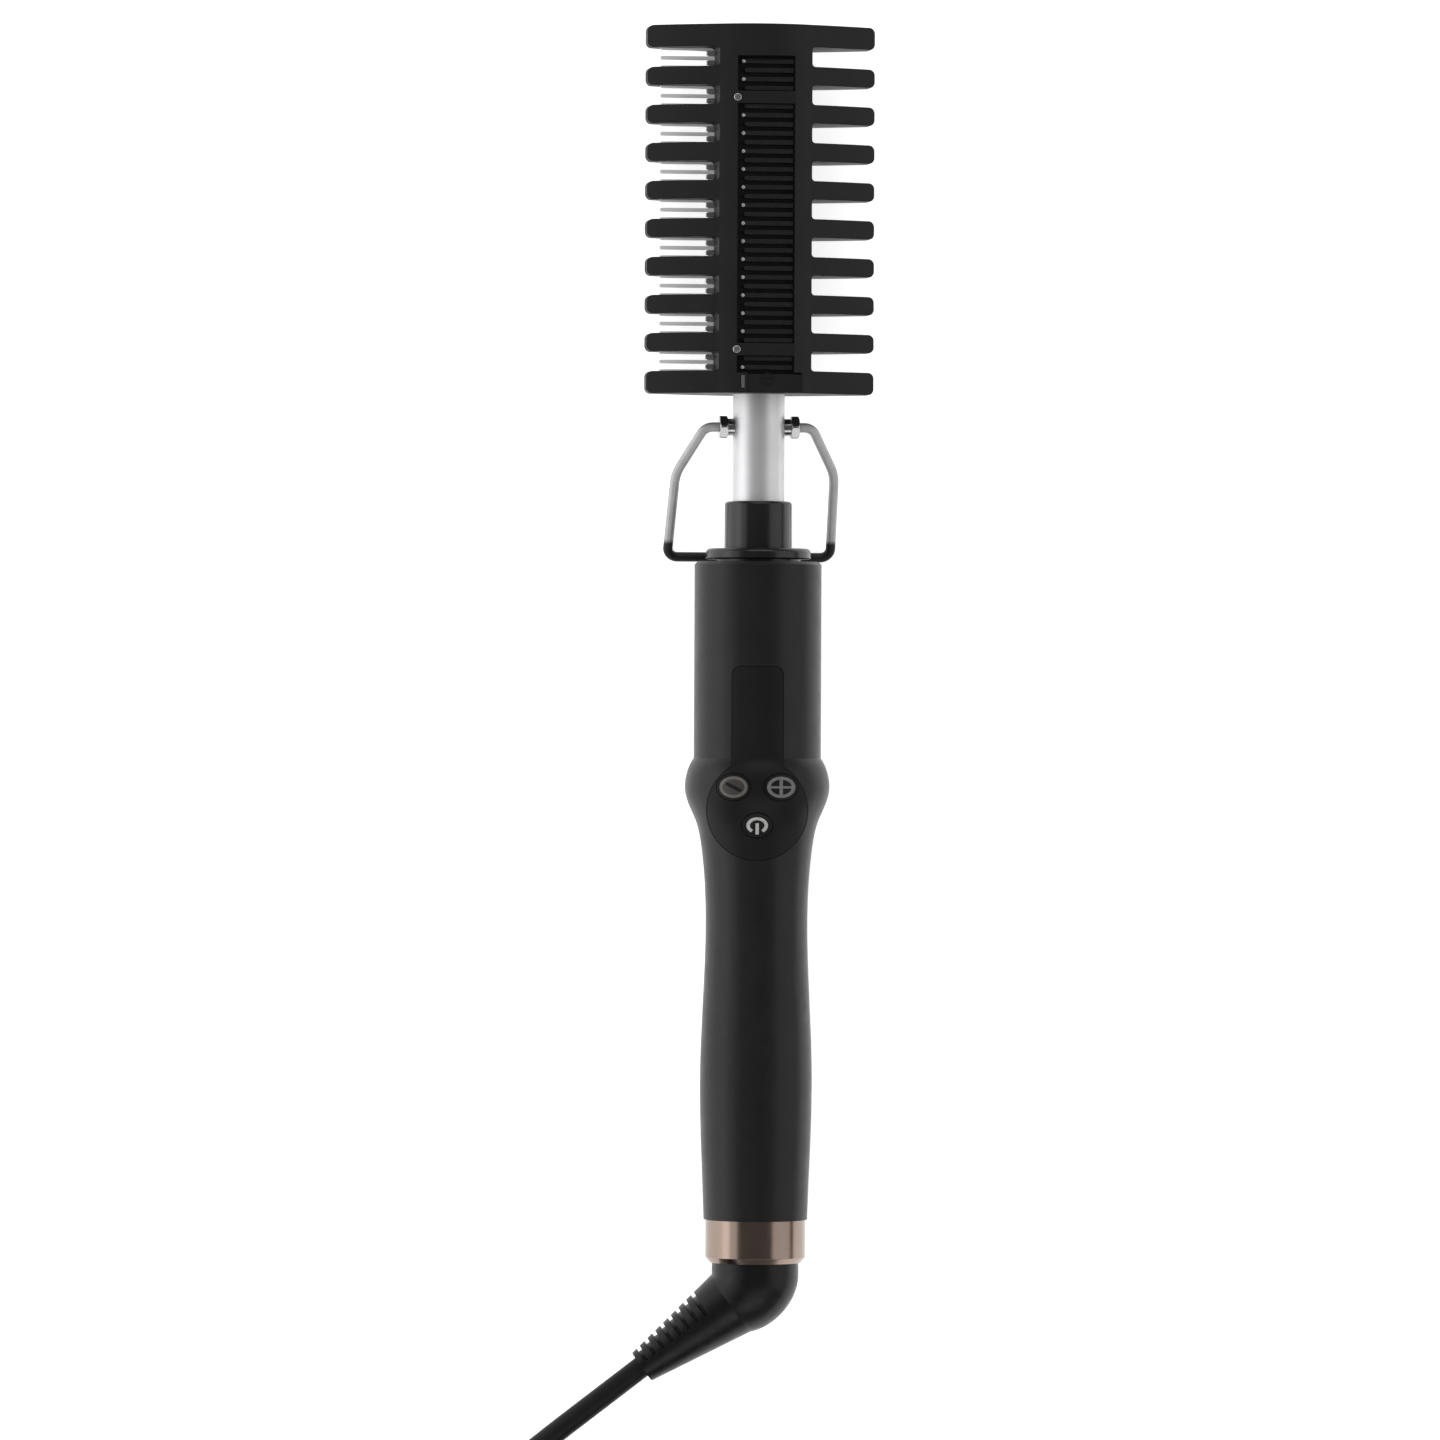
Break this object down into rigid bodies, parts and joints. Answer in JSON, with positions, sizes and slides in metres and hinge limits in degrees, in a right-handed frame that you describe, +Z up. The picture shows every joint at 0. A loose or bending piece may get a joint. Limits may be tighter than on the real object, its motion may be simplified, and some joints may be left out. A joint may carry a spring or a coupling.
{
  "type": "hot comb",
  "caption": "Electric hot comb with a wide-toothed guard over a heated core, a slim handle with a button panel, a folding wire stand and a swivelling mains lead.",
  "frame": {"origin": "on the surface that it lies on, below the middle of the comb without its lead", "axes": "+Y along the comb towards the tip of the head, +Z up out of the face of the head, +X to the right seen from the front"},
  "size_m": [0.146, 0.4992, 0.0395],
  "materials": {
    "shell_black": "fine satin moulded",
    "guard_black": "satin heat-resistant moulding",
    "panel_black": "glossy dark lens",
    "button_grey": "glossy with a light printed mark",
    "display_dark": "dark display",
    "board_green": "glass-fibre board",
    "part_dark": "moulded electronic parts",
    "screw_steel": "plain",
    "bright_chrome": "polished",
    "wire_chrome": "drawn and plated",
    "collar_black": "glossy moulded",
    "nylon_white": "natural nylon",
    "spring_steel": "hardened",
    "contact_brass": "plain",
    "boot_rubber": "soft moulded",
    "cord_black": "smooth sheath",
    "plug_black": "moulded",
    "pin_nickel": "nickel plated",
    "core_aluminium": "extruded",
    "rib_coated": "dark ceramic coating",
    "strip_grey": "heat-resistant moulding",
    "comb_steel": "etched stainless",
    "ptc_ceramic": "fired",
    "film_amber": "polyimide film",
    "sensor_glass": "glass bead",
    "lead_red": "silicone sheath"
  },
  "bodies": {
    "body": {"handle_front_shell": "shell_black", "handle_rear_shell": "shell_black", "shell_screws": "screw_steel", "control_panel": "panel_black", "control_board": "board_green", "board_screws": "screw_steel", "display_module": "display_dark", "tact_switches": "part_dark", "power_parts": "part_dark", "swivel_bush": "nylon_white", "brush_holder": "part_dark", "contact_brushes": "contact_brass", "heater_leads": "lead_red", "end_ring": "bright_chrome", "neck_collar": "collar_black", "neck_tube": "bright_chrome", "pivot_studs": "bright_chrome", "guard_front": "guard_black", "guard_rear": "guard_black", "guard_screws": "screw_steel", "head_base": "guard_black", "base_screw": "screw_steel", "base_tab": "screw_steel", "comb_strip": "strip_grey", "fine_comb": "comb_steel", "heater_core": "core_aluminium", "front_plate": "rib_coated", "rear_plate": "rib_coated", "heating_plates": "ptc_ceramic", "heater_films": "film_amber", "temperature_sensor": "sensor_glass", "thermal_fuse": "screw_steel"},
    "stand": {"stand_wire": "wire_chrome"},
    "swivel": {"cord_boot": "boot_rubber", "swivel_clip": "spring_steel", "slip_rings": "contact_brass", "cord": "cord_black", "cord_coil": "cord_black", "cord_tail": "cord_black", "plug_body": "plug_black", "plug_pins": "pin_nickel"},
    "minus": {"minus_button": "button_grey"},
    "plus": {"plus_button": "button_grey"},
    "power": {"power_button": "button_grey"}
  },
  "joints": [
    {"name": "stand_fold", "type": "hinge", "parent": "body", "child": "stand", "pos_m": [0, 0.05865, 0.0195], "axis": [1, 0, 0], "range_deg": [0, 90]},
    {"name": "lead_swivel", "type": "hinge", "parent": "body", "child": "swivel", "pos_m": [0, -0.16675, 0.0195], "axis": [0, 1, 0], "continuous": true},
    {"name": "minus_press", "type": "slide", "parent": "body", "child": "minus", "axis": [0.1392, 0, -0.9903], "range_m": [0, 0.0005], "stiffness_N_per_m": 400, "springref_m": -0.0006},
    {"name": "plus_press", "type": "slide", "parent": "body", "child": "plus", "axis": [0.1392, 0, -0.9903], "range_m": [0, 0.0005], "stiffness_N_per_m": 400, "springref_m": -0.0006},
    {"name": "power_press", "type": "slide", "parent": "body", "child": "power", "axis": [0.1392, 0, -0.9903], "range_m": [0, 0.0005], "stiffness_N_per_m": 400, "springref_m": -0.0006}
  ]
}
